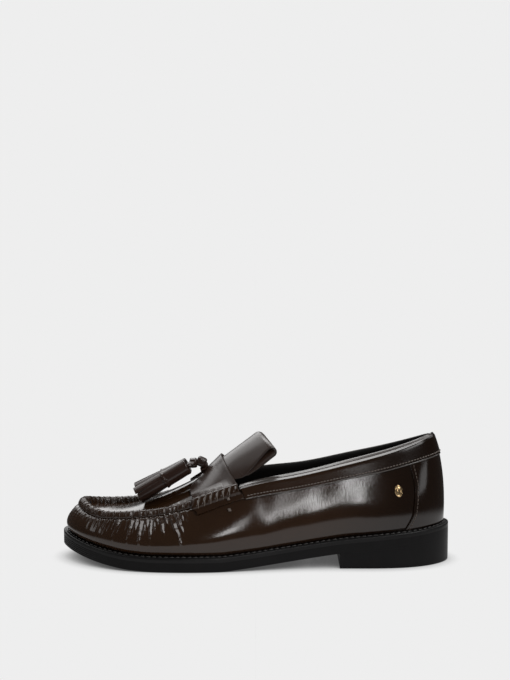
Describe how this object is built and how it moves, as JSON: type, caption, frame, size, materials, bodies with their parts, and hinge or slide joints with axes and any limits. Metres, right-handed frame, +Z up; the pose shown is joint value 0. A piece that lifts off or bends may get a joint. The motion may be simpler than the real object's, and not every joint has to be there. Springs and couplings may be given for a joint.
{
  "type": "tassel loafer",
  "caption": "Left leather tassel loafer with gathered apron toe, saddle strap, doubled tongue, knotted tassels, welted sole and low heel; open at the collar for a foot",
  "frame": {"origin": "middle of the sole's outline, on the floor that the shoe stands on", "axes": "+X from toe to heel, +Y from the outer to the inner side, +Z up"},
  "size_m": [0.268, 0.091, 0.0889],
  "materials": {
    "upper_leather": "polished, high shine, very dark brown",
    "sole_rubber": "black, satin",
    "lining": "black, dull",
    "stud_metal": "pale gold, satin"
  },
  "bodies": {
    "root": {"outsole": "sole_rubber", "heel": "sole_rubber", "welt": "sole_rubber", "insole": "lining", "upper": "upper_leather", "saddle_strap": "upper_leather", "collar_band": "upper_leather", "heel_counter": "upper_leather", "tongue": "upper_leather", "tassel_outer": "upper_leather", "tassel_inner": "upper_leather", "tassel_knot": "upper_leather", "side_stud": "stud_metal"}
  },
  "joints": []
}
